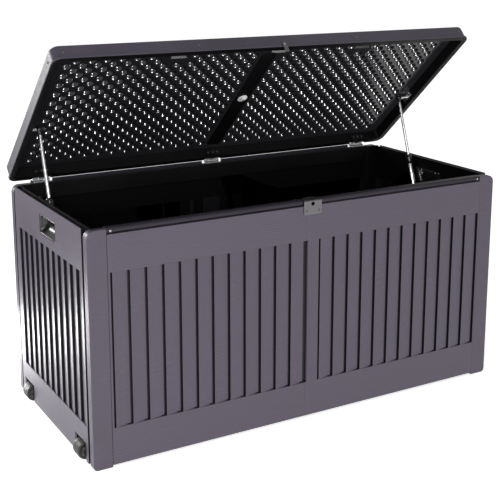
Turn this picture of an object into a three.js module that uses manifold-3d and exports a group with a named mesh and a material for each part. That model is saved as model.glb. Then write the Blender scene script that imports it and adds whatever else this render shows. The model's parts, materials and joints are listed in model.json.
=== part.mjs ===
// Deck storage box with a gas-strut lid, shown with the lid open.
// Millimetres. X runs along the box (its wheels are at -X), the front faces -Y, +Z is up.
// The origin is on the floor, at the middle of the underside of the floor beam.
import * as THREE from 'three';
import { mergeVertices } from 'three/addons/utils/BufferGeometryUtils.js';
import Module from 'manifold-3d';

const wasm = await Module();
wasm.setup();

// ---- Driving dimensions -------------------------------------------------------------------
const boxLength = 1180;
const boxDepth = 540;
const wallTop = 572;            // top of the posts and end walls above the floor
const footHeight = 6;           // the posts stand this far below the wall panels
const gap = 0.3;                // clearance between pieces that touch

const postWidth = 48;           // seen from the front
const postDepth = 23;           // seen from the end
const wallThickness = 12;       // front and back panels
const endThickness = 14;        // end panels

const faceTop = 559;            // top edge of the front and back panels
const bandLow = 97;             // planks run from here
const bandHigh = 471;           // up to here, with plain bands below and above
const plankSlope = 4;           // how deep a plank's sunken edge lies
const grooveDepth = 6.5;
const grooveWidth = 5;
const pocketDepth = 4;          // hollows between the ribs on the inside
const endPocket = 6;
const ribWidth = 12;
const planksPerPanel = 12;
const plankPitch = 42.88;
const fieldStart = -532;        // first groove line, from the middle of the box
const endPlanks = 11;
const endPitch = 40.75;
const endFieldBack = 211.5;     // back edge of an end wall's planks
const endSlope = 5.5;
const endGroove = 9;

const openAngle = THREE.MathUtils.degToRad(42);
const hingeY = 266;
const hingeZ = 578;
const lidLength = 1200;
const lidFront = -272;
const lidBack = 256;
const lidBottom = 576;
const lidHeight = 40;
const lidSkin = 9;              // thickness of the lid's top
const rimWidth = 14;
const lipProud = 3;
const lipHeight = 5;
const lidJoin = -4;             // the two lid halves meet here, under the centre bar
const barWidth = 44;

const hingePlaces = [-510, 0, 510];
const leafWidth = 46;
const knuckleRadius = 4.5;
const pinRadius = 2.2;

const strutPlane = 558;         // distance of the struts from the middle of the box
const strutFoot = new THREE.Vector2(-2.7, 386.5);      // lower pivot, Y and Z
const strutLidReach = 219;      // upper pivot from the hinge axis, along the lid
const strutLidRise = 19;        // upper pivot above the hinge axis, with the lid shut
const cylinderLength = 200;
const cylinderRadius = 8;
const rodRadius = 4;
const eyeRadius = 8;
const eyeWidth = 12;
const pivotRadius = 4;

const wheelRadius = 22.5;
const wheelWidth = 36;
const wheelX = -582;
const wheelZ = 24;
const axleRadius = 4;
const axleBore = 4.12;
const wellInner = 151;          // wheel wells, from the middle of the depth
const wellOuter = 224;
const wellTop = 52;
const wheelY = (wellInner + wellOuter) / 2;
const hubRadius = 15;
const hubHeight = 7;

const handleY = -9;
const handleLength = 113;
const handleLow = 495;
const handleHigh = 544;
const handleDepth = 18;

const floorLow = 15;
const floorHigh = 22;
const beamWidth = 70;

// ---- Materials ----------------------------------------------------------------------------
const plastic = { color: 0x4d4950, roughness: 0.55, metalness: 0 };
const black = { color: 0x0d0d0f, roughness: 0.35, metalness: 0 };
const wheelGrey = { color: 0x4a4946, roughness: 0.5, metalness: 0 };
const zinc = { color: 0xb9bbbd, roughness: 0.35, metalness: 0.9 };
const chrome = { color: 0xdfe1e3, roughness: 0.12, metalness: 1 };
const rubber = { color: 0x161616, roughness: 0.8, metalness: 0 };

// ---- Solids -------------------------------------------------------------------------------
// A closed geometry as a manifold solid.
function solid(geometry) {
  const bare = geometry.index ? geometry.toNonIndexed() : geometry.clone();
  bare.deleteAttribute('normal');
  bare.deleteAttribute('uv');
  const merged = mergeVertices(bare, 1e-4);
  return new wasm.Manifold(new wasm.Mesh({
    numProp: 3,
    vertProperties: new Float32Array(merged.attributes.position.array),
    triVerts: new Uint32Array(merged.index.array),
  }));
}

// A manifold solid as a geometry with flat-shaded faces.
function geometryOf(shape) {
  const mesh = shape.getMesh();
  const geometry = new THREE.BufferGeometry();
  geometry.setAttribute('position', new THREE.BufferAttribute(mesh.vertProperties, 3));
  geometry.setIndex(new THREE.BufferAttribute(mesh.triVerts, 1));
  geometry.computeVertexNormals();
  return geometry;
}

// A block between two opposite corners.
function block(x0, x1, y0, y1, z0, z1) {
  const geometry = new THREE.BoxGeometry(x1 - x0, y1 - y0, z1 - z0);
  geometry.translate((x0 + x1) / 2, (y0 + y1) / 2, (z0 + z1) / 2);
  return solid(geometry);
}

// Matrices that lay an extrusion along one axis: an outline in (y, z) along X,
// in (x, z) along Y (towards the front), or in (x, y) along Z.
const layAlong = {
  x: new THREE.Matrix4().set(0, 0, 1, 0, 1, 0, 0, 0, 0, 1, 0, 0, 0, 0, 0, 1),
  y: new THREE.Matrix4().set(1, 0, 0, 0, 0, 0, -1, 0, 0, 1, 0, 0, 0, 0, 0, 1),
  z: new THREE.Matrix4(),
};

// An outline pulled along an axis from one coordinate to a larger one.
function pull(shape, axis, from, to, bevel = 0) {
  const geometry = new THREE.ExtrudeGeometry(shape, {
    depth: to - from - 2 * bevel,
    bevelEnabled: bevel > 0,
    bevelSize: bevel,
    bevelOffset: -bevel,
    bevelThickness: bevel,
    bevelSegments: 2,
    curveSegments: 5,
  });
  geometry.translate(0, 0, bevel);
  geometry.applyMatrix4(layAlong[axis]);
  const start = axis === 'y' ? to : from;
  const move = { x: [start, 0, 0], y: [0, start, 0], z: [0, 0, start] }[axis];
  geometry.translate(...move);
  return solid(geometry);
}

// An outline through a list of corners.
function outline(points) {
  return new THREE.Shape(points.map(([a, b]) => new THREE.Vector2(a, b)));
}

// A rectangle whose four corners have their own radii: low-left, low-right, high-right, high-left.
function rounded(a0, a1, b0, b1, radii) {
  const [r0, r1, r2, r3] = radii;
  const shape = new THREE.Shape();
  shape.moveTo(a0 + r0, b0);
  shape.lineTo(a1 - r1, b0);
  if (r1) shape.absarc(a1 - r1, b0 + r1, r1, -Math.PI / 2, 0, false);
  shape.lineTo(a1, b1 - r2);
  if (r2) shape.absarc(a1 - r2, b1 - r2, r2, 0, Math.PI / 2, false);
  shape.lineTo(a0 + r3, b1);
  if (r3) shape.absarc(a0 + r3, b1 - r3, r3, Math.PI / 2, Math.PI, false);
  shape.lineTo(a0, b0 + r0);
  if (r0) shape.absarc(a0 + r0, b0 + r0, r0, Math.PI, Math.PI * 1.5, false);
  return shape;
}

// A round bar along an axis.
function bar(axis, [a, b, c], radius, from, to, sides = 16) {
  const geometry = new THREE.CylinderGeometry(radius, radius, to - from, sides);
  const middle = (from + to) / 2;
  if (axis === 'x') geometry.rotateZ(-Math.PI / 2).translate(middle, b, c);
  if (axis === 'y') geometry.translate(a, middle, c);
  if (axis === 'z') geometry.rotateX(Math.PI / 2).translate(a, b, middle);
  return solid(geometry);
}

// A profile of (radius, height) pairs turned about an axis, with its foot at a place.
function turned(profile, axis, [x, y, z], sides = 20) {
  const geometry = new THREE.LatheGeometry(profile.map(([r, h]) => new THREE.Vector2(r, h)), sides);
  if (axis === 'x') geometry.rotateZ(-Math.PI / 2);
  if (axis === 'z') geometry.rotateX(Math.PI / 2);
  geometry.translate(x, y, z);
  return solid(geometry);
}

const joined = (first, ...rest) => rest.reduce((whole, next) => whole.add(next), first);
const cutBy = (first, ...rest) => rest.reduce((whole, next) => whole.subtract(next), first);
const mirrorX = (shape) => {
  const geometry = geometryOf(shape).toNonIndexed();
  const position = geometry.attributes.position;
  for (let i = 0; i < position.count; i += 3) {
    const corners = [0, 2, 1].map((k) => new THREE.Vector3().fromBufferAttribute(position, i + k));
    corners.forEach((corner, k) => position.setXYZ(i + k, -corner.x, corner.y, corner.z));
  }
  return solid(geometry);
};

// ---- The scene graph ----------------------------------------------------------------------
const group = new THREE.Group();

function place(parent, name, look, shape) {
  const mesh = new THREE.Mesh(geometryOf(shape), new THREE.MeshStandardMaterial(look));
  mesh.name = name;
  parent.add(mesh);
  return mesh;
}

const left = -boxLength / 2;
const right = boxLength / 2;
const front = -boxDepth / 2;
const back = boxDepth / 2;

// ---- Corner posts -------------------------------------------------------------------------
// Rounded at the top and bottom outer corners, with softened edges.
const postTopRound = 18;
const postFootRound = 10;
const postBevel = 1.5;
function cornerPost() {
  const shape = rounded(left, left + postWidth - gap, 0, wallTop,
    [postFootRound, 0, 0, postTopRound]);
  return pull(shape, 'y', front, front + postDepth, postBevel);
}

const frontLeftPost = cornerPost();
place(group, 'corner_post_front_left', plastic, frontLeftPost);
place(group, 'corner_post_front_right', plastic, mirrorX(frontLeftPost));
place(group, 'corner_post_back_right', plastic, frontLeftPost).rotation.z = Math.PI;
place(group, 'corner_post_back_left', plastic, mirrorX(frontLeftPost)).rotation.z = Math.PI;

// ---- Planked panels -----------------------------------------------------------------------
// The saw-shaped cutter that gives a row of planks: each plank starts level with the face and
// sinks towards its groove. Lengths run along a, depths into the wall along b.
function plankTeeth(start, pitch, count, slope, groove, sunkenFirst) {
  const level = 0.05;
  const points = [[start, -2]];
  for (let i = 0; i < count; i += 1) {
    const a = start + i * pitch;
    const end = a + pitch;
    if (sunkenFirst) {
      points.push([a, groove], [a + grooveWidth, groove], [a + grooveWidth, slope], [end, level]);
    } else {
      points.push([a, level], [end - grooveWidth, slope], [end - grooveWidth, groove], [end, groove]);
    }
  }
  points.push([start + count * pitch, -2]);
  return points;
}

const notchLength = 9;          // notch under each plank's sunken edge
const notchHeight = 2.6;
const tongueDepth = 6;          // the panel's thinner top edge, behind the shadow groove
function wallPanel(x0, x1, start, leftRebate) {
  const teeth = plankTeeth(start, plankPitch, planksPerPanel, plankSlope, grooveDepth, false);
  const cutters = [pull(outline(teeth.map(([a, b]) => [a, front + b])), 'z', bandLow, bandHigh)];
  cutters.push(block(start - grooveWidth, start, front - 1, front + grooveDepth, bandLow, bandHigh));
  for (let i = 0; i < planksPerPanel; i += 1) {
    const a = start + i * plankPitch;
    const end = a + plankPitch;
    cutters.push(block(a + ribWidth / 2, end - ribWidth / 2,
      front + wallThickness - pocketDepth, front + wallThickness + 2, bandLow, bandHigh));
    cutters.push(block(end - grooveWidth - notchLength, end - 1,
      front - 1, front + grooveDepth, bandLow, bandLow + notchHeight));
  }
  if (leftRebate) {
    cutters.push(block(x0 - 1, x0 + grooveWidth, front - 1, front + grooveDepth, bandLow, bandHigh));
  }
  const panel = block(x0, x1, front, front + wallThickness, footHeight, faceTop);
  const tongue = block(x0, x1, front + tongueDepth, front + wallThickness, faceTop - 1, faceTop + 2);
  return cutBy(panel.add(tongue), ...cutters);
}

const panelJoin = fieldStart + planksPerPanel * plankPitch;
const postInner = left + postWidth;
const leftHalf = wallPanel(postInner, panelJoin - gap / 2, fieldStart, false);
const rightHalf = wallPanel(panelJoin + gap / 2, -postInner, panelJoin + plankPitch, true);

// Behind the lock plate's hole the front panel is hollowed for a padlock's shackle.
const lockHoleZ = 564;
const shackleHalf = 11;
const shackleDepth = 10;
const shackleRoom = block(-shackleHalf, shackleHalf, front - 1, front + shackleDepth, 546, faceTop + 3);
place(group, 'front_panel_left', plastic, leftHalf);
place(group, 'front_panel_right', plastic, rightHalf.subtract(shackleRoom));
place(group, 'back_panel_right', plastic, leftHalf).rotation.z = Math.PI;
place(group, 'back_panel_left', plastic, rightHalf).rotation.z = Math.PI;

// ---- Top rails of the front and back ------------------------------------------------------
// A round-nosed rail above a shadow groove, with a leg behind the panel.
const railLow = 561.5;
const railHigh = 573;
const railNose = front + 2;
const railInner = front + 24;
const legLow = 531;
function topRail() {
  const nose = rounded(railNose, railInner, railLow, railHigh, [4, 0, 3, 5]);
  const leg = outline([
    [front + wallThickness + gap, legLow], [railInner, legLow],
    [railInner, railLow + 1], [front + wallThickness + gap, railLow + 1],
  ]);
  const from = postInner + gap;
  return joined(pull(nose, 'x', from, -from), pull(leg, 'x', from, -from));
}

const plateThickness = 2;
const plateHalf = 26;
const plateLow = 537;
const frontRail = topRail();
const lockRelief = joined(
  block(-plateHalf - gap, plateHalf + gap, railNose - 1, railNose + 2.6, railLow - 1, railHigh + 1),
  block(-plateHalf - gap, plateHalf + gap, railNose - 1, front + 16, railHigh - 2.3, railHigh + 1),
  block(-shackleHalf, shackleHalf, railNose - 1, front + shackleDepth, railLow - 1, railHigh - 4),
);
place(group, 'front_rail', plastic, frontRail.subtract(lockRelief));

// The back rail's upstands narrow the gap behind the open lid, from one hinge to the next.
const upstandTop = 579.5;
const hingeClearance = 31;
const upstands = hingePlaces.slice(1).map((x, i) => block(
  hingePlaces[i] + hingeClearance, x - hingeClearance,
  railNose + 1.5, railNose + 6.5, railHigh - 3, upstandTop));
place(group, 'back_rail', plastic, joined(frontRail, ...upstands)).rotation.z = Math.PI;

// ---- Lock plate ---------------------------------------------------------------------------
// Bent over the rail, with a hole for a padlock.
function lockPlate() {
  const face = pull(rounded(-plateHalf, plateHalf, plateLow, railHigh, [3, 3, 0, 0]), 'y',
    front - plateThickness - gap, front - gap);
  const fold = block(-plateHalf, plateHalf, front - plateThickness - gap, front + 15,
    railHigh - 2, railHigh);
  const hole = bar('y', [0, 0, lockHoleZ], 5, front - 5, front + 2);
  return joined(face, fold).subtract(hole);
}
place(group, 'lock_plate', zinc, lockPlate());

// ---- End panels ---------------------------------------------------------------------------
// Deep joints stand between the planks and the posts.
const endReach = boxDepth / 2 - postDepth - gap;
const backJointWidth = 6;
function endPanel(withWells) {
  const inner = left + endThickness;
  const plate = block(left, inner, -endReach, endReach, footHeight, wallTop);
  const rimShelf = block(inner - 1, inner + 6, -endReach, endReach, wallTop - 12, wallTop);
  const channel = block(left + 3, inner + 3, -endReach + 6, endReach - 6, wallTop - 3.5, wallTop + 1);
  const teeth = plankTeeth(-endFieldBack, endPitch, endPlanks, endSlope, endGroove, true);
  const planks = pull(outline(teeth.map(([a, b]) => [left + b, -a])), 'z', bandLow, bandHigh);
  const handleHole = pull(rounded(handleY - handleLength / 2, handleY + handleLength / 2,
    handleLow, handleHigh, [4, 4, 4, 4]), 'x', left - 1, inner + 1);
  const frontJoint = block(left - 1, left + endGroove, -endReach - 1, endFieldBack - endPlanks * endPitch,
    0, wallTop + 1);
  const backJoint = block(left - 1, left + endGroove, endReach - backJointWidth, endReach + 1,
    0, wallTop + 1);
  const cutters = [channel, planks, handleHole, frontJoint, backJoint];
  for (let i = 0; i < endPlanks; i += 1) {
    const y = endFieldBack - endPitch * i;
    cutters.push(block(inner - endPocket, inner + 1, y - endPitch + ribWidth / 2, y - ribWidth / 2,
      bandLow, bandHigh));
  }
  if (withWells) {
    cutters.push(block(left - 1, inner + 1, wellInner, wellOuter, footHeight - 1, wellTop));
    cutters.push(block(left - 1, inner + 1, -wellOuter, -wellInner, footHeight - 1, wellTop));
  }
  return cutBy(joined(plate, rimShelf), ...cutters);
}
place(group, 'end_panel_left', plastic, endPanel(true));
place(group, 'end_panel_right', plastic, mirrorX(endPanel(false)));

// A handle cup fills each end panel's hole: a hand recess, closed at the back.
function handleCup() {
  const wall = 2.5;
  const y0 = handleY - handleLength / 2 + gap;
  const y1 = handleY + handleLength / 2 - gap;
  const radii = [4, 4, 4, 4];
  const shell = pull(rounded(y0, y1, handleLow + gap, handleHigh - gap, radii), 'x',
    left + 0.5, left + handleDepth + wall);
  const recess = pull(rounded(y0 + wall, y1 - wall, handleLow + gap + wall, handleHigh - gap - wall,
    radii), 'x', left - 1, left + handleDepth);
  return shell.subtract(recess);
}
place(group, 'handle_cup_left', black, handleCup());
place(group, 'handle_cup_right', black, mirrorX(handleCup()));

// Rubber buffers on the end walls, which the shut lid rests on.
const bufferY = 90;
function lidBuffer() {
  const profile = [[0, 0], [4.5, 0], [4.5, 2.4], [3, 3.4], [0, 3.4]];
  return turned(profile, 'z', [left + endThickness + 4.4, bufferY, wallTop + gap], 12);
}
place(group, 'lid_buffer_left', rubber, lidBuffer());
place(group, 'lid_buffer_right', rubber, mirrorX(lidBuffer()));

// ---- Floor --------------------------------------------------------------------------------
const wellDepth = 52;           // how far a wheel housing reaches in from the end face
const housingSpan = 3.4;        // housing walls beyond the well
function floorHalf(withWells) {
  const x0 = left + endThickness + gap;
  const y0 = front + wallThickness + gap;
  const whole = block(x0, -gap / 2, y0, -y0, floorLow, floorHigh);
  const cutters = [];
  for (const side of [-1, 1]) {
    const postEdge = side * (boxDepth / 2 - postDepth - gap);
    const postFar = side * (boxDepth / 2);
    cutters.push(block(x0 - 1, postInner + gap, Math.min(postEdge, postFar), Math.max(postEdge, postFar),
      floorLow - 1, floorHigh + 1));
    if (withWells) {
      const near = Math.min(side * (wellInner - housingSpan), side * (wellOuter + housingSpan));
      const far = Math.max(side * (wellInner - housingSpan), side * (wellOuter + housingSpan));
      cutters.push(block(x0 - 1, left + wellDepth + gap, near, far, floorLow - 1, floorHigh + 1));
    }
  }
  return cutBy(whole, ...cutters);
}
place(group, 'floor_panel_left', plastic, floorHalf(true));
place(group, 'floor_panel_right', plastic, mirrorX(floorHalf(false)));

const beamReach = boxDepth / 2 - wallThickness - gap;
place(group, 'floor_beam', plastic,
  pull(rounded(-beamWidth / 2, beamWidth / 2, 0, floorLow - gap, [4, 4, 0, 0]), 'y', -beamReach, beamReach));

// ---- Wheels -------------------------------------------------------------------------------
// Each wheel turns on an axle across a housing that is let into the foot of the left end.
function wheelHousing() {
  const wall = 3;
  const x0 = left + endThickness + gap;
  const outer = block(x0, left + wellDepth, wellInner - wall, wellOuter + wall, footHeight, wellTop + wall);
  const room = block(x0 - 1, left + wellDepth - wall, wellInner, wellOuter, footHeight - 1, wellTop);
  const lugs = joined(
    block(left + 1, x0 + 1, wellInner + gap, wellInner + 7, footHeight + 2, wellTop - 4),
    block(left + 1, x0 + 1, wellOuter - 7, wellOuter - gap, footHeight + 2, wellTop - 4),
    block(x0, left + wellDepth - wall + 1, wellInner - 1, wellInner + 7, footHeight + 2, wellTop - 4),
    block(x0, left + wellDepth - wall + 1, wellOuter - 7, wellOuter + 1, footHeight + 2, wellTop - 4),
  );
  const bore = bar('y', [wheelX, 0, wheelZ], axleRadius + gap, wellInner + 2, wellOuter - 2);
  return cutBy(joined(outer.subtract(room), lugs), bore);
}

function wheelTyre() {
  const half = wheelWidth / 2;
  const shoulder = 4;
  return turned([
    [axleBore, -half], [wheelRadius - shoulder, -half], [wheelRadius - 1.2, 1.2 - half],
    [wheelRadius, shoulder - half], [wheelRadius, half - shoulder], [wheelRadius - 1.2, half - 1.2],
    [wheelRadius - shoulder, half], [axleBore, half], [axleBore, -half],
  ], 'y', [wheelX, wheelY, wheelZ], 24);
}

function wheelAxle() {
  return bar('y', [wheelX, 0, wheelZ], axleRadius, wellInner + 2.5, wellOuter - 2.5);
}

// Hub caps close the sides of the wheel around the axle: +1 is the cap towards the back.
function hubCap(side) {
  const foot = wheelY + side * (wheelWidth / 2 + gap);
  const rise = side * hubHeight;
  const profile = [
    [axleBore, 0], [hubRadius, 0], [hubRadius, 0.6 * rise], [hubRadius - 3, rise],
    [axleBore, rise], [axleBore, 0],
  ];
  return turned(side > 0 ? profile : profile.slice().reverse(), 'y', [wheelX, foot, wheelZ]);
}

// The front wheel is the same as the back one, moved along the end. A cap that faces the nearest
// corner post is the outer one.
for (const [name, move, outward] of [['back', 0, 1], ['front', -2 * wheelY, -1]]) {
  const put = (part, look, shape) => place(group, part, look, shape.translate([0, move, 0]));
  put(`wheel_${name}`, wheelGrey, wheelTyre());
  put(`wheel_hub_outer_${name}`, black, hubCap(outward));
  put(`wheel_hub_inner_${name}`, black, hubCap(-outward));
  put(`wheel_axle_${name}`, zinc, wheelAxle());
  put(`wheel_housing_${name}`, black, wheelHousing());
}

// ---- Hinges -------------------------------------------------------------------------------
// Box leaf with two knuckles and a pin; the lid leaf's knuckle sits between them.
const knuckle = leafWidth / 3;
const leafThickness = 1.8;
function knuckleBarrel(from, to) {
  return bar('x', [0, hingeY, hingeZ], knuckleRadius, from, to, 16);
}
function boxLeaf(x) {
  const low = railHigh + gap;
  const sides = [x - leafWidth / 2, x + leafWidth / 2 - knuckle];
  const leaf = block(x - leafWidth / 2, x + leafWidth / 2, -railInner + 1, hingeY - 6,
    low, low + leafThickness);
  const parts = sides.flatMap((from) => [
    knuckleBarrel(from, from + knuckle - gap),
    block(from, from + knuckle - gap, hingeY - 7, hingeY, low, low + leafThickness),
  ]);
  const bore = bar('x', [0, hingeY, hingeZ], pinRadius + 0.05, x - leafWidth, x + leafWidth, 16);
  return joined(leaf, ...parts).subtract(bore);
}
function hingePin(x) {
  return bar('x', [0, hingeY, hingeZ], pinRadius, x - leafWidth / 2 - 1, x + leafWidth / 2 + 1, 16);
}
hingePlaces.forEach((x, i) => {
  place(group, `hinge_box_leaf_${i + 1}`, zinc, boxLeaf(x));
  place(group, `hinge_pin_${i + 1}`, zinc, hingePin(x));
});

// ---- Strut brackets on the end walls ------------------------------------------------------
function wallBracket() {
  const [y, z] = strutFoot.toArray();
  const wall = left + endThickness;
  const plate = pull(rounded(y - 32, y + 32, z - 16, z + 16, [6, 6, 6, 6]), 'x', wall + gap, wall + 3);
  const pin = bar('x', [0, y, z], pivotRadius, wall + 2, -strutPlane + eyeWidth / 2 + 3);
  const head = bar('x', [0, y, z], 6.5, -strutPlane + eyeWidth / 2 + gap, -strutPlane + eyeWidth / 2 + 3);
  return joined(plate, pin, head);
}
place(group, 'strut_wall_bracket_left', zinc, wallBracket());
place(group, 'strut_wall_bracket_right', zinc, mirrorX(wallBracket()));

// ---- Lid ----------------------------------------------------------------------------------
// Drawn shut, in a group whose origin is the hinge axis, and turned open about that axis.
const lid = new THREE.Group();
lid.position.set(0, hingeY, hingeZ);
lid.rotation.x = -openAngle;
group.add(lid);
const shutY = (y) => y - hingeY;
const shutZ = (z) => z - hingeZ;

const lidEdge = 22;             // radius of the lid's upright corners
function lidShell() {
  const half = lidLength / 2;
  const y0 = shutY(lidFront);
  const y1 = shutY(lidBack);
  const z0 = shutZ(lidBottom);
  const four = (r) => [r, r, r, r];
  const skirt = pull(rounded(-half, half, y0, y1, four(lidEdge)), 'z', z0, z0 + lidHeight, 4);
  const skirtFoot = pull(rounded(-half, half, y0, y1, four(lidEdge)), 'z', z0, z0 + lidHeight / 2);
  const lip = pull(rounded(-half - lipProud, half + lipProud, y0 - lipProud, y1 + lipProud,
    four(lidEdge + lipProud)), 'z', z0, z0 + lipHeight);
  const cavity = pull(rounded(-half + rimWidth, half - rimWidth, y0 + rimWidth, y1 - rimWidth,
    four(lidEdge - 8)), 'z', z0 - 5, z0 + lidHeight - lidSkin);
  return cutBy(joined(skirt, skirtFoot, lip), cavity);
}

const slotPlaces = [-262, 22, 285];
const slotLength = 46;
const slotReach = 490;          // from the hinge axis
const slotWidth = 24;
const slotDepth = 5;
const ceiling = shutZ(lidBottom) + lidHeight - lidSkin;
function lidCutters() {
  const slots = slotPlaces.map((x) => block(x - slotLength / 2, x + slotLength / 2,
    -slotReach - slotWidth / 2, -slotReach + slotWidth / 2, ceiling - 1, ceiling + slotDepth));
  const notches = hingePlaces.map((x) => block(x - leafWidth / 2 - 3, x + leafWidth / 2 + 3,
    shutY(lidBack) - rimWidth - 1, shutY(lidBack) + lipProud + 1, shutZ(lidBottom) - 1, 1.6));
  const knuckleRoom = hingePlaces.map((x) => block(x - leafWidth / 2 - 3, x + leafWidth / 2 + 3,
    shutY(lidBack) - 0.5, shutY(lidBack) + lipProud + 1, 1, shutZ(lidBottom) + lipHeight + 1));
  return [...slots, ...notches, ...knuckleRoom];
}

const wholeLid = cutBy(lidShell(), ...lidCutters());
const farOut = lidLength;
const lidSide = (from, to) => block(from, to, -farOut, farOut, -farOut, farOut);
place(lid, 'lid_panel_left', plastic, wholeLid.intersect(lidSide(-farOut, lidJoin - gap / 2)));
place(lid, 'lid_panel_right', plastic, wholeLid.intersect(lidSide(lidJoin + gap / 2, farOut)));

const rimInnerFront = shutY(lidFront) + rimWidth + gap;
const rimInnerBack = shutY(lidBack) - rimWidth - gap;
const barThickness = 5;
const screwReach = 280;
const screwHole = bar('z', [lidJoin, -screwReach, 0], 4.5, ceiling - 10, ceiling + 1);
place(lid, 'lid_centre_bar', plastic,
  block(lidJoin - barWidth / 2, lidJoin + barWidth / 2, rimInnerFront + 45, rimInnerBack - 24,
    ceiling - barThickness - gap, ceiling - gap).subtract(screwHole));
place(lid, 'lid_centre_screw', zinc, turned([
  [0, -5], [4, -5], [4, 0], [13, 0], [13, 1.6], [7.5, 1.6], [6, 4.4], [0, 4.4],
].map(([r, h]) => [r, -h]).reverse(), 'z',
[lidJoin, -screwReach, ceiling - barThickness - 2 * gap]));

// The tongue that hangs over the lock plate when the lid is shut.
const tongueHalf = 6;
function lockTongue() {
  const inner = shutY(lidFront) - lipProud - gap;
  const outer = inner - plateThickness;
  const low = shutZ(lockHoleZ) - 5.5;
  const high = shutZ(lidBottom) + 12;
  const blade = pull(rounded(-tongueHalf, tongueHalf, low, high, [5, 5, 2, 2]), 'y', outer, inner);
  const hole = bar('y', [0, 0, shutZ(lockHoleZ)], 3.2, outer - 1, inner + 1);
  return blade.subtract(hole);
}
place(lid, 'lock_tongue', zinc, lockTongue());

// Lid leaves: a plate up the inside of the rim and a strap out to the middle knuckle.
function lidLeaf(x) {
  const inner = rimInnerBack;
  const half = knuckle / 2 - gap;
  const plate = block(x - leafWidth / 2, x + leafWidth / 2, inner - leafThickness, inner,
    -1, 20);
  const foot = block(x - leafWidth / 2, x + leafWidth / 2, inner - leafThickness,
    shutY(lidBack) - 1, -1, 1.2);
  const strap = block(x - half, x + half, shutY(lidBack) - 2, 0, -1, 1.2);
  const barrel = solid(new THREE.CylinderGeometry(knuckleRadius, knuckleRadius, 2 * half, 16)
    .rotateZ(-Math.PI / 2).translate(x, 0, 0));
  const bore = solid(new THREE.CylinderGeometry(pinRadius + 0.05, pinRadius + 0.05, 60, 16)
    .rotateZ(-Math.PI / 2).translate(x, 0, 0));
  return joined(plate, foot, strap, barrel).subtract(bore);
}
hingePlaces.forEach((x, i) => place(lid, `hinge_lid_leaf_${i + 1}`, zinc, lidLeaf(x)));

// Strut brackets on the lid's rim: a plate with a stud that faces the rod's eye.
const studClearance = 0.6;
function lidBracket() {
  const rim = -lidLength / 2 + rimWidth;
  const plate = pull(rounded(-strutLidReach - 26, -strutLidReach + 14, strutLidRise - 9,
    strutLidRise + 9, [3, 3, 3, 3]), 'x', rim + gap, rim + 3);
  const stud = bar('x', [0, -strutLidReach, strutLidRise], pivotRadius, rim + 2,
    -strutPlane - eyeWidth / 2 - studClearance);
  return joined(plate, stud);
}
place(lid, 'strut_lid_bracket_left', zinc, lidBracket());
place(lid, 'strut_lid_bracket_right', zinc, mirrorX(lidBracket()));

// ---- Gas struts ---------------------------------------------------------------------------
// Each strut's group has its origin at the lower pivot and its Z axis towards the lid's stud.
const studOpen = new THREE.Vector2(
  hingeY - strutLidReach * Math.cos(openAngle) + strutLidRise * Math.sin(openAngle),
  hingeZ + strutLidReach * Math.sin(openAngle) + strutLidRise * Math.cos(openAngle),
);
const strutVector = studOpen.clone().sub(strutFoot);
const strutLength = strutVector.length();
const strutLean = Math.atan2(strutVector.x, strutVector.y);

const glandHeight = 9;
const rodTail = 18;             // rod left inside the cylinder when fully out
const neckLength = 14.5;        // stays clear of the gland with the lid shut
const rodBore = rodRadius + 0.15;
function strutCylinder() {
  const tube = turned([
    [rodBore, 12], [cylinderRadius, 12], [cylinderRadius, cylinderLength - glandHeight - gap],
    [rodBore, cylinderLength - glandHeight - gap], [rodBore, 12],
  ], 'z', [0, 0, 0], 16);
  const base = bar('z', [0, 0, 0], cylinderRadius, 9, 14);
  const eye = bar('x', [0, 0, 0], eyeRadius, -eyeWidth / 2, eyeWidth / 2);
  const neck = block(-4, 4, -5, 5, 5, 10);
  const hole = bar('x', [0, 0, 0], pivotRadius + 0.1, -eyeWidth, eyeWidth);
  return joined(tube, base, neck, eye).subtract(hole);
}
function strutGland() {
  const foot = cylinderLength - glandHeight;
  return turned([
    [rodBore, 0], [cylinderRadius + 1.2, 0], [cylinderRadius + 1.2, 6], [6.5, glandHeight],
    [rodBore, glandHeight], [rodBore, 0],
  ], 'z', [0, 0, foot], 16);
}
function strutRod() {
  const rod = bar('z', [0, 0, 0], rodRadius, cylinderLength - glandHeight - rodTail, strutLength - 6, 12);
  const eye = bar('x', [0, 0, strutLength], eyeRadius, -eyeWidth / 2, eyeWidth / 2);
  const neck = bar('z', [0, 0, 0], 5.2, strutLength - neckLength, strutLength - 6, 12);
  return joined(rod, neck, eye);
}

for (const [side, name] of [[-1, 'left'], [1, 'right']]) {
  const strut = new THREE.Group();
  strut.position.set(side * strutPlane, strutFoot.x, strutFoot.y);
  strut.rotation.x = -strutLean;
  group.add(strut);
  place(strut, `strut_cylinder_${name}`, chrome, strutCylinder());
  place(strut, `strut_gland_${name}`, black, strutGland());
  place(strut, `strut_rod_${name}`, chrome, strutRod());
}

export default group;
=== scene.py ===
"""Looks of a deck storage box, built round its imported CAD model. Lengths are in millimetres."""
import json
import math
from collections import namedtuple

import bmesh
import bpy
import numpy as np
from mathutils import Matrix, Vector


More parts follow.
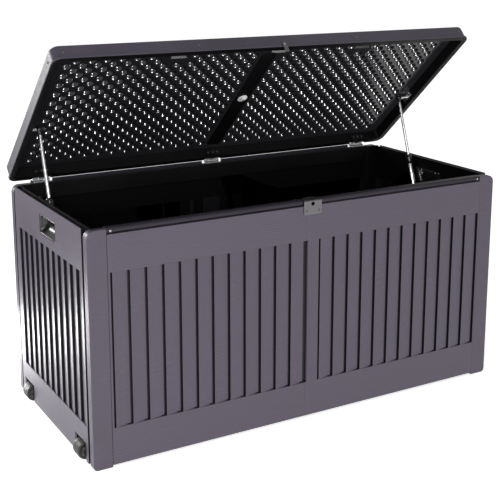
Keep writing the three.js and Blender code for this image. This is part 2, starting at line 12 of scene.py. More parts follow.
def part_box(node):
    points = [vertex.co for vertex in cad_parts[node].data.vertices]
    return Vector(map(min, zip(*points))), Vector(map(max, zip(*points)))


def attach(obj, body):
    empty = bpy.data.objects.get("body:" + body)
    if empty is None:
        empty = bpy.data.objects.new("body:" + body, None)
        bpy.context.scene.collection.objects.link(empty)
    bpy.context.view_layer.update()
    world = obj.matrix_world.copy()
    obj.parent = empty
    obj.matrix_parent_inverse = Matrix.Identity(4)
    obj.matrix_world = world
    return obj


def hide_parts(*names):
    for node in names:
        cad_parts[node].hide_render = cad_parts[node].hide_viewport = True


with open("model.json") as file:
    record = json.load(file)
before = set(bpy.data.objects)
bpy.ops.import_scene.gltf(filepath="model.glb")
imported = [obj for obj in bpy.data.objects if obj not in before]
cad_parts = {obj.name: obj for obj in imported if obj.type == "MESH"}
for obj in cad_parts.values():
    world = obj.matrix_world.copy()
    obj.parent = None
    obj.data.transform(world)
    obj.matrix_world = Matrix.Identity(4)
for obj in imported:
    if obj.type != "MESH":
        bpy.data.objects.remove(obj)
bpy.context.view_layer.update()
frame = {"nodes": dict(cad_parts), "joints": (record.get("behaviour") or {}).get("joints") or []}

MM = 0.001
SIDES = ((-1, "left"), (1, "right"))
MOULDED, BLACK, STEEL = "moulded_plastic", "black_plastic", "zinc_plated_steel"  # slots
JOINTS = {j["name"]: j for j in frame["joints"]}


# ---- Places that come from the frame
def box_mm(node):
    """A CAD node's lowest and highest corner, in millimetres."""
    low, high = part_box(node)
    return low / MM, high / MM


def joint_mm(name):
    return Vector(JOINTS[name]["pos_m"]) / MM


OPEN_ANGLE = math.radians(JOINTS["lid_hinge"]["range_deg"][1])
HINGE = joint_mm("lid_hinge")
LID = Matrix.Translation(HINGE * MM) @ Matrix.Rotation(-OPEN_ANGLE, 4, "X")

LEFT = box_mm("end_panel_left")[0].x
RIGHT, _, WALL_TOP = box_mm("end_panel_right")[1]
FRONT = box_mm("corner_post_front_left")[0].y

# Sizes that the frame doesn't hold, the same as in the CAD.
WALL_THICK, END_THICK = 12.0, 14.0
BAND_LOW, BAND_HIGH = 97.0, 471.0  # the planks stand between two plain bands
GROOVE = 5.0  # width of the groove between two planks
JOINT_CENTRE, JOINT_REACH = 2.0, 238.2  # the end walls' joints with the posts, along Y

# A field of upright planks: where it starts, its pitch, how far it reaches to either side of
# the middle, and where one of its grooves begins.
Planks = namedtuple("Planks", "start pitch reach groove")
PLANK_START, PLANK_PITCH, PLANK_REACH = -532.0, 42.88, 541.0
END_START, END_PITCH = -236.75, 40.75
FRONT_PLANKS = Planks(PLANK_START, PLANK_PITCH, PLANK_REACH, PLANK_START - GROOVE)
BACK_PLANKS = Planks(-PLANK_START, PLANK_PITCH, PLANK_REACH, -PLANK_START)
END_PLANKS = Planks(END_START, END_PITCH, -END_START, END_START - GROOVE)


# ---- Node materials
class Look:
    """A node material with a Principled shader, and a short way to add nodes to it. Lengths
    inside it are in metres, as shaders take them."""

    def __init__(self, name, base, roughness, metallic=0.0, specular=0.5):
        self.material = bpy.data.materials.new(name)
        self.material.use_nodes = True
        self.tree = self.material.node_tree
        self.shader = self.tree.nodes["Principled BSDF"]
        self.shader.inputs["Base Color"].default_value = (*base, 1)
        self.shader.inputs["Roughness"].default_value = roughness
        self.shader.inputs["Metallic"].default_value = metallic
        self.shader.inputs["Specular IOR Level"].default_value = specular
        self.place = self.node("TexCoord")["Object"]

    def node(self, kind, sockets=None, **settings):
        """Adds a node. Sockets are numbers, colours or other nodes' outputs."""
        made = self.tree.nodes.new("ShaderNode" + kind)
        for key, value in settings.items():
            setattr(made, key, value)
        for key, value in (sockets or {}).items():
            socket = made.inputs[key]
            if isinstance(value, bpy.types.NodeSocket):
                self.tree.links.new(value, socket)
            else:
                socket.default_value = value
        return made.outputs

    def math(self, operation, a, b=0.0):
        return self.node("Math", {0: a, 1: b}, operation=operation)[0]

    def times(self, a, b):
        return self.math("MULTIPLY", a, b)

    def plus(self, a, b):
        return self.math("ADD", a, b)

    def axes(self):
        out = self.node("SeparateXYZ", {0: self.place})
        return out[0], out[1], out[2]

    def point(self, x=0.0, y=0.0, z=0.0):
        return self.node("CombineXYZ", {0: x, 1: y, 2: z})[0]

    def noise(self, vector, scale=1.0, detail=3.0, roughness=0.5, distortion=0.0):
        sockets = {"Vector": vector, "Scale": scale, "Detail": detail,
                   "Roughness": roughness, "Distortion": distortion}
        return self.node("TexNoise", sockets)["Fac"]

    def spread(self, value, low, high, to_low=0.0, to_high=1.0):
        sockets = {"Value": value, "From Min": low, "From Max": high,
                   "To Min": to_low, "To Max": to_high}
        return self.node("MapRange", sockets)["Result"]

    def between(self, value, low, high, soft=0.0005):
        """1 where a value lies between two limits."""
        up = self.spread(value, low - soft, low + soft)
        down = self.spread(value, high - soft, high + soft, 1.0, 0.0)
        return self.times(up, down)

    def blend(self, factor, a, b):
        """A number between two numbers, which are the Mix node's sockets 2 and 3."""
        return self.node("Mix", {"Factor": factor, 2: a, 3: b}, data_type="FLOAT")[0]

    def tint(self, factor, a, b):
        """A colour between two colours, which are the Mix node's sockets 6 and 7."""
        first, second = (c if isinstance(c, bpy.types.NodeSocket) else (*c, 1) for c in (a, b))
        return self.node("Mix", {"Factor": factor, 6: first, 7: second}, data_type="RGBA")[2]

    def wire(self, **sockets):
        for key, value in sockets.items():
            self.tree.links.new(value, self.shader.inputs[key.replace("_", " ")])

    def bump(self, height, distance, strength=1.0):
        sockets = {"Height": height, "Distance": distance, "Strength": strength}
        self.wire(Normal=self.node("Bump", sockets)[0])


INSIDE_SHADE = (0.0016, 0.0014, 0.0018)  # painted shade: the inside of the box, near-black
RIB_HIGHLIGHT = (0.0100, 0.0085, 0.0115)  # painted highlight: the inside's ribs, a little lighter
GREY = (0.080, 0.066, 0.096)  # the outside
GRAIN_SPACING = 5.5  # millimetres between the lines of a flowing grain
GRAIN_WANDER = 60.0  # how far they stray, in radians of that spacing
PLANK_SHIFT = 0.731  # metres that each plank's marks are moved on by
EDGE_SOFT = 0.4  # half the width of the soft edge of the inside's painted shade
GROOVE_SHADE_MARGIN = 0.6  # a groove's painted shade is wider than the groove by this
GROOVE_SHADE_DEPTH = (0.8, 1.0)  # and it begins this deep under a wall's face


def shade(colour, amount):
    return tuple(c * amount for c in colour)


def streaks(look, run, along, side, across, middle=0.0, detail=2.0, roughness=0.5):
    """Noise drawn out into streaks, with its waves per metre along run and along side."""
    point = look.point(look.times(run, along), middle, look.times(side, across))
    return look.noise(point, 1.0, detail, roughness)


def grain_lines(look, run, across):
    """Lines of a flowing grain: mostly along run, and here and there closing into arches."""
    drift = streaks(look, run, 1.7, across, 8.0, 0.3, 2.0, 0.4)
    waves = look.times(across, 2 * math.pi / (GRAIN_SPACING * MM))
    rings = look.plus(waves, look.times(drift, GRAIN_WANDER))
    fibre = streaks(look, run, 14.0, across, 900.0, 0.0, 3.0, 0.6)
    return look.plus(look.times(look.math("SINE", rings), 0.20), fibre)


def saw_marks(look, run, z, shift=0.0, upright=0.7):
    """An upright fibre crossed by fine marks of a saw, stronger in some patches than others."""
    fibre = streaks(look, run, 620.0, z, 9.0, shift, 3.0, 0.6)
    marks = streaks(look, run, 42.0, z, 780.0, shift, 2.0, 0.55)
    patch = look.spread(streaks(look, run, 11.0, z, 7.0), 0.42, 0.62)
    marks = look.times(look.spread(marks, 0.5, 0.7), patch)
    return look.plus(look.times(fibre, upright), marks)


def plank_faces(look, run, z, planks):
    """1 within a field of planks, and the height of their faces, each with its own marks."""
    count = look.math("DIVIDE", look.math("SUBTRACT", run, planks.start * MM), planks.pitch * MM)
    shift = look.times(look.math("FLOOR", count), PLANK_SHIFT)
    height = saw_marks(look, look.plus(run, shift), z, shift)
    field = look.times(look.between(z, BAND_LOW * MM, BAND_HIGH * MM),
                       look.between(run, -planks.reach * MM, planks.reach * MM))
    return field, height


def plank_groove_shade(look, run, field, planks):
    """1 along the grooves between the planks, where shade is painted."""
    start = (planks.groove - GROOVE_SHADE_MARGIN) * MM
    turn = look.math("FLOORED_MODULO", look.math("SUBTRACT", run, start), planks.pitch * MM)
    within = look.math("LESS_THAN", turn, (GROOVE + 2 * GROOVE_SHADE_MARGIN) * MM)
    return look.times(field, within)


def past_joints(look, y):
    """1 on the end walls' joints with the posts, and past them, where the grooves' painted shade goes
    too.
    """
    off_centre = look.math("ABSOLUTE", look.math("SUBTRACT", y, JOINT_CENTRE * MM))
    return look.math("GREATER_THAN", off_centre, JOINT_REACH * MM)


def wood_plastic(name, along="x", planks=None, shade_at=(), tone=1.0, roughness=0.42, specular=0.5):
    """Plastic moulded with a wood grain: bands flow along one axis, planks and posts stand
    upright with saw marks. Its list of (axis, edge, sign) says where the inside's painted shade
    begins, near-black; the grooves between planks and the end walls' joints get painted shade too."""
    look = Look(name, shade(GREY, tone), roughness, specular=specular)
    x, y, z = look.axes()
    run, across = {"x": (x, z), "y": (y, z), "lid": (x, y), "post": (x, z)}[along]
    if along == "post":
        height = saw_marks(look, x, z, upright=0.5)
    else:
        height = grain_lines(look, run, across)
    if planks:
        field, faces = plank_faces(look, run, z, planks)
        height = look.blend(field, height, faces)
        groove_shade = plank_groove_shade(look, run, field, planks)
        if along == "y":
            groove_shade = look.math("MAXIMUM", groove_shade, past_joints(look, y))

    cloud = look.noise(look.place, 5.0, 3.0)
    lines = look.spread(height, 0.1, 1.3)
    colour = look.tint(lines, shade(GREY, 0.66 * tone), shade(GREY, 1.38 * tone))
    colour = look.tint(look.spread(cloud, 0.3, 0.7, 0.2, 0.6), colour, shade(GREY, tone))
    rough = look.spread(cloud, 0.3, 0.7, roughness * 0.88, roughness * 1.1)
    places = {"x": x, "y": y, "|x|": look.math("ABSOLUTE", x), "|y|": look.math("ABSOLUTE", y)}
    within = 1.0
    for axis, edge, sign in shade_at:
        depth = look.times(places[axis], float(sign))
        step = look.spread(depth, (edge - EDGE_SOFT) * MM, (edge + EDGE_SOFT) * MM)
        within = look.times(step, within)
    # Painted shade: past these edges the inside turns near-black.
    if shade_at:
        colour = look.tint(within, colour, INSIDE_SHADE)
    # Painted shade in the grooves and past the end walls' joints, from a little under the face.
    if planks:
        face = {"x": FRONT, "y": LEFT}[along]
        sunk = look.spread(depth, *((face + deep) * MM for deep in GROOVE_SHADE_DEPTH))
        colour = look.tint(look.times(groove_shade, sunk), colour, INSIDE_SHADE)
    look.wire(Base_Color=colour, Roughness=rough)
    look.bump(height, 0.0005, 0.5)
    return look.material


def smooth_plastic(name, base, roughness, orange_peel=0.00012, specular=0.5):
    """Plain moulded plastic or rubber, a little uneven in colour, gloss and surface."""
    look = Look(name, base, roughness, specular=specular)
    ripple = look.noise(look.place, 260.0, 3.0)
    cloud = look.noise(look.place, 14.0, 3.0)
    look.wire(Base_Color=look.tint(cloud, shade(base, 0.75), shade(base, 1.25)),
              Roughness=look.spread(cloud, 0.3, 0.7, roughness * 0.85, roughness * 1.2))
    look.bump(ripple, orange_peel)
    return look.material


def wall_inside(name, axis, sign, rib_face):
    """The inside of a wall, painted near-black as shade, with a painted highlight on its ribs, a little
    lighter than the hollows between them.
    """
    look = Look(name, INSIDE_SHADE, 0.5, specular=0.15)
    x, y, z = look.axes()
    depth = look.times({"x": x, "y": y}[axis], float(sign))
    rib = look.times(look.spread(depth, (rib_face - 0.6) * MM, (rib_face - 0.4) * MM),
                     look.between(z, BAND_LOW * MM, BAND_HIGH * MM))
    # The ribs' painted highlight, stronger in some patches than others.
    highlight_patches = look.spread(look.noise(look.place, 40.0, 4.0), 0.3, 0.7, 0.5, 1.0)
    look.wire(Base_Color=look.tint(look.times(rib, highlight_patches), INSIDE_SHADE, RIB_HIGHLIGHT))
    look.bump(look.noise(look.place, 260.0, 3.0), 0.0001)
    return look.material


def metal(name, base, roughness, brushed=(1.0, 1.0, 1.0), scratch=0.00004):
    """Metal with fine brushed lines; brushed stretches the lines' pattern."""
    look = Look(name, base, roughness, metallic=1.0)
    stretched = look.node("Mapping", {"Vector": look.place, "Scale": brushed})[0]
    lines = look.noise(stretched, 900.0, 2.0, 0.6)
    stains = look.noise(look.place, 60.0, 4.0)
    look.wire(Base_Color=look.tint(stains, shade(base, 0.82), base),
              Roughness=look.spread(lines, 0.3, 0.7, roughness * 0.8, roughness * 1.3))
    look.bump(lines, scratch, 0.6)
    return look.material


# How deep, from its outer face, each moulding's inside begins, which is painted near-black as shade.
RAIL_SHADE, POST_SHADE, POST_SIDE_SHADE = 20.0, 12.0, 15.0

post_look = wood_plastic("moulded_post", "post", shade_at=[("|x|", LEFT + POST_SIDE_SHADE, -1),
                                                       ("|y|", FRONT + POST_SHADE, -1)])
# The lid is the walls' plastic, painted darker by tone 0.66 as shade.
lid_look = wood_plastic("moulded_lid", "lid", tone=0.66)
rail_look = wood_plastic("moulded_rail", "lid", shade_at=[("|y|", FRONT + RAIL_SHADE, -1)], tone=0.3,
                         roughness=0.45, specular=0.3)
# The floor and the posts' inside, painted near-black as shade.
inside_look = smooth_plastic("moulded_inside", INSIDE_SHADE, 0.5, specular=0.2)
black_look = smooth_plastic("black_gloss", (0.008, 0.008, 0.009), 0.18)
housing_look = smooth_plastic("black_housing", (0.010, 0.010, 0.011), 0.35)
tread_look = smooth_plastic("wheel_tread", (0.030, 0.029, 0.027), 0.42, 0.0003)
rubber_look = smooth_plastic("rubber_buffer", (0.014, 0.014, 0.014), 0.7, 0.0002, 0.3)
zinc_look = metal("zinc_plate", (0.74, 0.75, 0.77), 0.30, (0.15, 1.0, 1.0))
# The lid's underside, its rim lining and its centre bar are painted near-black as shade.
under_look = smooth_plastic("moulded_underside", (0.0030, 0.0028, 0.0034), 0.17, 0.00003,
                            specular=0.28)
lining_look = smooth_plastic("moulded_lining", (0.0030, 0.0028, 0.0034), 0.5, specular=0.12)
cup_look = smooth_plastic("black_cup", (0.010, 0.010, 0.010), 0.16, 0.00005)
hub_look = smooth_plastic("black_hub", (0.018, 0.018, 0.017), 0.36)
lock_look = metal("lock_steel", (0.20, 0.19, 0.20), 0.34)
washer_look = smooth_plastic("washer_plate", (0.15, 0.15, 0.15), 0.3)
leaf_look = metal("hinge_leaf", (0.045, 0.045, 0.048), 0.35)
dark_steel_look = metal("dark_screw", (0.20, 0.20, 0.20), 0.4)
chrome_look = metal("chromed_tube", (0.62, 0.63, 0.64), 0.16, (1.0, 1.0, 0.02), 0.00001)
steel_look = metal("screw_steel", (0.70, 0.70, 0.72), 0.25)


# ---- Carried-over CAD nodes
NORMAL_WEIGHT = 80  # of the weighted normals that smooth the bevels


def soften(node, look, width=0.7, segments=2, angle=28, inside=None):
    """Gives a CAD node its material and rounds its edges with modifiers. inside is a second
    material, with the axis, sign and depth beyond which a face takes it."""
    obj = frame["nodes"][node]
    obj.data.materials.clear()
    obj.data.materials.append(look)
    if inside:
        inner_look, axis, sign, depth = inside
        obj.data.materials.append(inner_look)
        place = obj.matrix_world
        deep = [sign * (place @ v.co)["xyz".index(axis)] > depth * MM for v in obj.data.vertices]
        for polygon in obj.data.polygons:
            polygon.material_index = int(all(deep[i] for i in polygon.vertices))
    weld = obj.modifiers.new("weld", "WELD")
    weld.merge_threshold = 0.01 * MM
    flat = obj.modifiers.new("flat", "DECIMATE")
    flat.decimate_type = "DISSOLVE"
    flat.angle_limit = math.radians(0.5)
    bevel = obj.modifiers.new("edges", "BEVEL")
    bevel.width = width * MM
    bevel.segments = segments
    bevel.limit_method = "ANGLE"
    bevel.angle_limit = math.radians(angle)
    bevel.miter_outer = "MITER_ARC"
    for polygon in obj.data.polygons:
        polygon.use_smooth = True
    smooth = obj.modifiers.new("normals", "WEIGHTED_NORMAL")
    smooth.keep_sharp = False
    smooth.weight = NORMAL_WEIGHT


WALL_INSIDE, POST_INSIDE = 7.4, 20.0  # faces deeper than this take the inside's material, painted near-black as shade
# Each wall's panels and planks, and the axis and direction in which its inside lies.
WALLS = {"front": (("front_panel_left", "front_panel_right"), FRONT_PLANKS, "y", 1),
         "back": (("back_panel_left", "back_panel_right"), BACK_PLANKS, "y", -1),
         "left": (("end_panel_left",), END_PLANKS, "x", 1),
         "right": (("end_panel_right",), END_PLANKS, "x", -1)}
# By that axis: where the planks run, the outer face, and the depths of the inside's painted shade and of
# the ribs.
WALL_KINDS = {"y": ("x", FRONT, 5.0, WALL_THICK), "x": ("y", LEFT, 7.0, END_THICK)}

for wall, (panels, planks, axis, sign) in WALLS.items():
    along, face, shade_at, thick = WALL_KINDS[axis]
    outside = wood_plastic(f"moulded_{wall}", along, planks, [(axis, face + shade_at, sign)])
    inside = wall_inside(f"inside_{wall}", axis, sign, face + thick)
    for panel in panels:
        soften(panel, outside, 0.8, inside=(inside, axis, sign, face + WALL_INSIDE))
for place in ("front_left", "front_right", "back_left", "back_right"):
    sign = 1 if place.startswith("front") else -1
    soften(f"corner_post_{place}", post_look, 0.6, angle=40,
           inside=(inside_look, "y", sign, FRONT + POST_INSIDE))
for name in ("front_rail", "back_rail"):
    soften(name, rail_look, 0.5, angle=40)
for name in ("floor_panel_left", "floor_panel_right", "floor_beam"):
    soften(name, inside_look, 0.6)
for name in ("wheel_housing_front", "wheel_housing_back"):
    soften(name, housing_look, 0.5, angle=40)


# ---- Mesh pieces
# How a point drawn in a plane (a, b) at height c lies when the height runs along an axis.
ALONG = {"x": lambda a, b, c: (c, a, b), "y": lambda a, b, c: (a, c, b), "z": lambda a, b, c: (a, b, c)}


def link(obj):
    bpy.context.scene.collection.objects.link(obj)


class Shape:
    """Vertices and faces of one piece, in millimetres."""

    def __init__(self):
        self.points, self.faces = [], []

    def add(self, points, faces):
        start = len(self.points)
        self.points += [tuple(p) for p in points]
        self.faces += [tuple(start + i for i in face) for face in faces]
        return self

    def prism(self, outline, axis, low, high):
        """An outline pulled along an axis: (y, z) along x, (x, z) along y, (x, y) along z."""
        n = len(outline)
        points = [ALONG[axis](a, b, c) for c in (low, high) for a, b in outline]
        sides = [(i, (i + 1) % n, n + (i + 1) % n, n + i) for i in range(n)]
        return self.add(points, [tuple(range(n)), tuple(range(n, 2 * n)), *sides])

    def block(self, low, high):
        (x0, y0, z0), (x1, y1, z1) = low, high
        return self.prism([(x0, y0), (x1, y0), (x1, y1), (x0, y1)], "z", z0, z1)

    def lathe(self, profile, place, axis="z", sides=40):
        """A profile of (radius, height) pairs turned about an axis through a place.
        A profile that ends where it starts makes a ring; otherwise its ends are closed."""
        ring = profile[0] == profile[-1]
        rows = profile[:-1] if ring else profile
        points = []
        for radius, height in rows:
            for k in range(sides):
                angle = 2 * math.pi * k / sides
                a, b, c = ALONG[axis](radius * math.cos(angle), radius * math.sin(angle), height)
                points.append((place[0] + a, place[1] + b, place[2] + c))
        faces = []
        count = len(rows)
        for i in range(count if ring else count - 1):
            j = (i + 1) % count
            for k in range(sides):
                m = (k + 1) % sides
                faces.append((i * sides + k, i * sides + m, j * sides + m, j * sides + k))
        if not ring:
            faces.append(tuple(range(sides)))
            faces.append(tuple((count - 1) * sides + k for k in range(sides)))
        return self.add(points, faces)

    def rings(self, loops, close_start=True, close_end=True):
        """Skin over closed loops of points that all have the same count."""
        n = len(loops[0])
        faces = []
        for i in range(len(loops) - 1):
            faces += [(i * n + k, i * n + (k + 1) % n, (i + 1) * n + (k + 1) % n, (i + 1) * n + k)
                      for k in range(n)]
        if close_start:
            faces.append(tuple(range(n)))
        if close_end:
            faces.append(tuple((len(loops) - 1) * n + k for k in range(n)))
        return self.add([p for loop in loops for p in loop], faces)

    def piece(self, name, body, slot, look, at=None, bevel=0.0, segments=2, angle=35, replaces=()):
        """Makes the Blender object: placed, softened, riding on its body."""
        mesh = bpy.data.meshes.new(name)
        mesh.from_pydata([tuple(c * MM for c in p) for p in self.points], [], self.faces)
        work = bmesh.new()
        work.from_mesh(mesh)
        bmesh.ops.remove_doubles(work, verts=work.verts, dist=1e-6)
        bmesh.ops.recalc_face_normals(work, faces=work.faces)
        work.to_mesh(mesh)
        work.free()
        mesh.shade_smooth()
        if not bevel:
            mesh.set_sharp_from_angle(angle=math.radians(angle))
        mesh.materials.append(look)
        obj = bpy.data.objects.new(name, mesh)
        link(obj)
        if at is not None:
            obj.matrix_world = at
        if bevel:
            edges = obj.modifiers.new("edges", "BEVEL")
            edges.width = bevel * MM
            edges.segments = segments
            edges.limit_method = "ANGLE"
            edges.angle_limit = math.radians(angle)
            normals = obj.modifiers.new("normals", "WEIGHTED_NORMAL")
            normals.weight = NORMAL_WEIGHT
        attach(obj, body)
        if replaces:
            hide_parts(*replaces)
        return obj


def arc(centre, radius, start, end, steps):
    """Points on an arc, with its angles in degrees."""
    out = []
    for k in range(steps + 1):
        angle = math.radians(start + (end - start) * k / steps)
        out.append((centre[0] + radius * math.cos(angle), centre[1] + radius * math.sin(angle)))
    return out


def quarter(steps):
    """The angles that divide a quarter turn into steps, both ends included."""
    return [math.pi / 2 * k / steps for k in range(steps + 1)]


def spaced(low, high, step):
    """Places about a step apart, from one end to the other."""
    count = max(1, round(abs(high - low) / step))
    return [low + (high - low) * k / count for k in range(count + 1)]


def grid(columns, rows):
    """The faces over a grid of points."""
    return [(j * columns + i, j * columns + i + 1, (j + 1) * columns + i + 1, (j + 1) * columns + i)
            for j in range(rows - 1) for i in range(columns - 1)]


def rounded(a0, a1, b0, b1, radius, steps=6):
    """A rectangle with round corners."""
    corners = [(a1 - radius, b0 + radius, -90), (a1 - radius, b1 - radius, 0),
               (a0 + radius, b1 - radius, 90), (a0 + radius, b0 + radius, 180)]
    return [p for a, b, start in corners for p in arc((a, b), radius, start, start + 90, steps)]


# ---- Lid
# The lid is drawn shut, from its hinge axis.
LID_HALF = 600.0
LID_FRONT, LID_BACK = -538.0, -10.0
LID_FOOT, LID_TOP = -2.0, 38.0
LID_SEAM, SEAM_GAP = -4.0, 0.15  # the two halves meet here, each half a gap away
LID_CORNER = 22.0
LID_EDGE = 7.0  # radius of the top's round edge
LID_CEILING = 26.5  # the underside's height
RIM = 14.0
TOP_FRAME = 45.0  # the top's planks stop short of the outer edge
TOP_MARGIN, TOP_PITCH = 44.0, 88.0
TOP_GROOVE = (1.6, 2.6)  # half a groove's width at its bottom and at its top
TOP_DEPTH = (1.1, 1.3)  # its depth beside its middle and there
LATTICE = (38.7, 37.3)
LATTICE_CELLS = 15  # mesh cells to one step of the lattice
PIT_RADIUS, PIT_DEPTH, PIT_BOWL = 11.6, 9.6, 1.7
PIT_SIDE, PIT_FRONT, PIT_BACK = 555.0, -512.0, -44.0
HINGE_PLACES = (-510.0, 0.0, 510.0)
HINGE_LEAF = 46.0
HINGE_NOTCH = HINGE_LEAF / 2 + 3  # half the notch in the rim round a hinge
SLOT_PLACES = (-262.0, 22.0, 285.0)
SLOT_SIZE, SLOT_DEPTH = (46.0, 24.0), 5.5
SLOT_REACH = -490.0
SLOT_CLEAR = (36.0, 26.0)  # no pit's centre lies closer to a slot's
BAR_CLEAR = 28.0  # or to the middle of the centre bar


def lid_point(x, y, inset, side):
    """A place on the lid's plan, drawn in from its outline by inset, with the corners round."""
    seam = LID_SEAM + SEAM_GAP * side
    outer = side * (LID_HALF - inset)
    x = seam + (x - seam) * (outer - seam) / (side * LID_HALF - seam)
    low, high = LID_FRONT + inset, LID_BACK - inset
    y = low + (y - LID_FRONT) * (high - low) / (LID_BACK - LID_FRONT)
    radius = max(LID_CORNER - inset, 5.0)
    cx = outer - side * radius
    for cy, out in ((low + radius, -1), (high - radius, 1)):
        u, v = side * (x - cx) / radius, out * (y - cy) / radius
        if u > 0 and v > 0:
            shrink = max(u, v) / math.hypot(u, v)
            return cx + side * radius * u * shrink, cy + out * radius * v * shrink
    return x, y


def top_height(x, y, grooves, side):
    """The height of the lid's top, sunk a little along its grooves."""
    framed = side * x < LID_HALF - TOP_FRAME and side * (x - LID_SEAM) > 3.6 + SEAM_GAP
    for groove in grooves:
        if framed and abs(y - groove) < 2.0:
            return LID_TOP - (TOP_DEPTH[1] if abs(y - groove) < 0.5 else TOP_DEPTH[0])
    return LID_TOP


def lid_shell(side):
    """The outside of half a lid: its top with shallow planks, and its skirt and lip. The rim's
    lining comes with it as a second shape."""
    seam = LID_SEAM + SEAM_GAP * side
    corner = [LID_CORNER * k / 6 for k in range(7)]
    marks = [hinge + side_of * (HINGE_NOTCH + past) for hinge in HINGE_PLACES
             for side_of in (-1, 1) for past in (0.3, 0.0)]
    marks += [side * (LID_HALF - TOP_FRAME - 1), side * (LID_HALF - TOP_FRAME + 1)]
    marks = [m for m in marks if side * m > side * seam + 1]
    xs = sorted({*(side * (LID_HALF - c) for c in corner), seam, seam + side * 3, seam + side * 4.2,
                 *marks, *spaced(seam, side * 560, 60)}, key=lambda v: side * v)
    grooves = spaced(LID_FRONT + TOP_MARGIN, LID_BACK - TOP_MARGIN, TOP_PITCH)
    low, high = TOP_GROOVE
    ys = sorted({LID_FRONT + c for c in corner} | {LID_BACK - c for c in corner}
                | {g + e for g in grooves for e in (-high, -low, 0, low, high)})
    sheet = [(*lid_point(x, y, LID_EDGE, side), top_height(x, y, grooves, side))
             for y in ys for x in xs]
    shape = Shape().add(sheet, grid(len(xs), len(ys)))

    walk = [(x, ys[0]) for x in xs] + [(xs[-1], y) for y in ys[1:-1]] + [(x, ys[-1]) for x in xs[::-1]]
    profile = [(LID_EDGE * (1 - math.sin(a)), LID_TOP - LID_EDGE * (1 - math.cos(a)))
               for a in quarter(6)]
    profile += [(0, LID_TOP - 14), (0, 5.2), (-0.2, 4.2), (-0.8, 3.4), (-1.8, 3.1), (-2.6, 2.7), (-3, 2)]
    profile += [(-3, -0.9), (-2.6, -1.7), (-1.8, LID_FOOT)]
    lining = [(-1.8, LID_FOOT), (RIM - 1.4, LID_FOOT), (RIM - 0.4, -1.6), (RIM, -0.6),
              (RIM + 0.6, LID_CEILING - 3), (RIM + 1.4, LID_CEILING - 0.8), (RIM + 3, LID_CEILING)]
    return skirt(shape, walk, profile, side), skirt(Shape(), walk, lining, side)


def skirt(shape, walk, profile, side):
    """Faces down round the outline, through a profile of (inset, height), with hinge notches."""
    loops = []
    back = walk[-1][1]
    for inset, z in profile:
        loop = []
        for x, y in walk:
            notched = y == back and any(abs(x - h) <= HINGE_NOTCH for h in HINGE_PLACES)
            deep = inset if not notched else max(inset, 0.0)
            high = z if not notched else max(z, 1.6)
            loop.append((*lid_point(x, y, deep, side), high))
        loops.append(loop)
    n = len(walk)
    skin = [(i * n + k, i * n + k + 1, (i + 1) * n + k + 1, (i + 1) * n + k)
            for i in range(len(loops) - 1) for k in range(n - 1)]
    ends = [tuple(i * n for i in range(len(loops))), tuple(i * n + n - 1 for i in range(len(loops)))]
    return shape.add([p for loop in loops for p in loop], skin + ends)


def lid_underside(side):
    """The underside of half a lid: a lattice of round pits inside a plain margin, with slots."""
    step = LATTICE[0] / LATTICE_CELLS
    seam = LID_SEAM + SEAM_GAP * side
    xs = np.array(spaced(seam, side * LID_HALF, step))
    ys = np.array(spaced(LID_FRONT, LID_BACK, step))
    inset = RIM + 2.5
    plan = np.array([[lid_point(x, y, inset, side) for x in xs] for y in ys])
    x, y = plan[..., 0], plan[..., 1]
    rise = np.zeros_like(x)
    px, py = LATTICE
    for shift in (0.0, 0.5):  # every other row is half a step on
        cx = (np.round((x - LID_SEAM) / px - 0.5 - shift) + 0.5 + shift) * px + LID_SEAM
        cy = (np.round(y / py - shift) + shift) * py
        far = np.hypot(x - cx, y - cy) / PIT_RADIUS
        inside = (np.abs(cx - LID_SEAM) > BAR_CLEAR) & (np.abs(cx) < PIT_SIDE)
        inside &= (cy > PIT_FRONT) & (cy < PIT_BACK)
        for slot in SLOT_PLACES:
            inside &= ~((np.abs(cx - slot) < SLOT_CLEAR[0]) & (cy < SLOT_REACH + SLOT_CLEAR[1]))
        pit = PIT_DEPTH * np.clip(1 - far ** 2, 0, 1) ** PIT_BOWL
        rise = np.maximum(rise, np.where(inside, pit, 0))
    for slot in SLOT_PLACES:
        dx = np.abs(x - slot) - SLOT_SIZE[0] / 2
        dy = np.abs(y - SLOT_REACH) - SLOT_SIZE[1] / 2
        rise = np.where(np.maximum(dx, dy) < 0, SLOT_DEPTH, rise)
    points = np.stack([x, y, LID_CEILING + rise], -1).reshape(-1, 3)
    return Shape().add(points.tolist(), grid(len(xs), len(ys)))


UNDERSIDES = []  # what the light named glints shines on
for side, name in SIDES:
    shell, lining = lid_shell(side)
    shell.piece(f"lid_shell_{name}", "lid", MOULDED, lid_look, LID, angle=32,
                replaces=[f"lid_panel_{name}"])
    lining.piece(f"lid_rim_lining_{name}", "lid", MOULDED, lining_look, LID, angle=32)
    UNDERSIDES.append(lid_underside(side).piece(f"lid_underside_{name}", "lid", MOULDED,
                                                under_look, LID, angle=70))


# ---- Screws
def add_facing(shape, part, place, direction):
    """Adds a part that is drawn along Z, at a place and turned to face a direction."""
    turn = Vector(direction).to_track_quat("Z", "Y").to_matrix()
    shape.add([tuple(turn @ Vector(p) + Vector(place)) for p in part.points], part.faces)


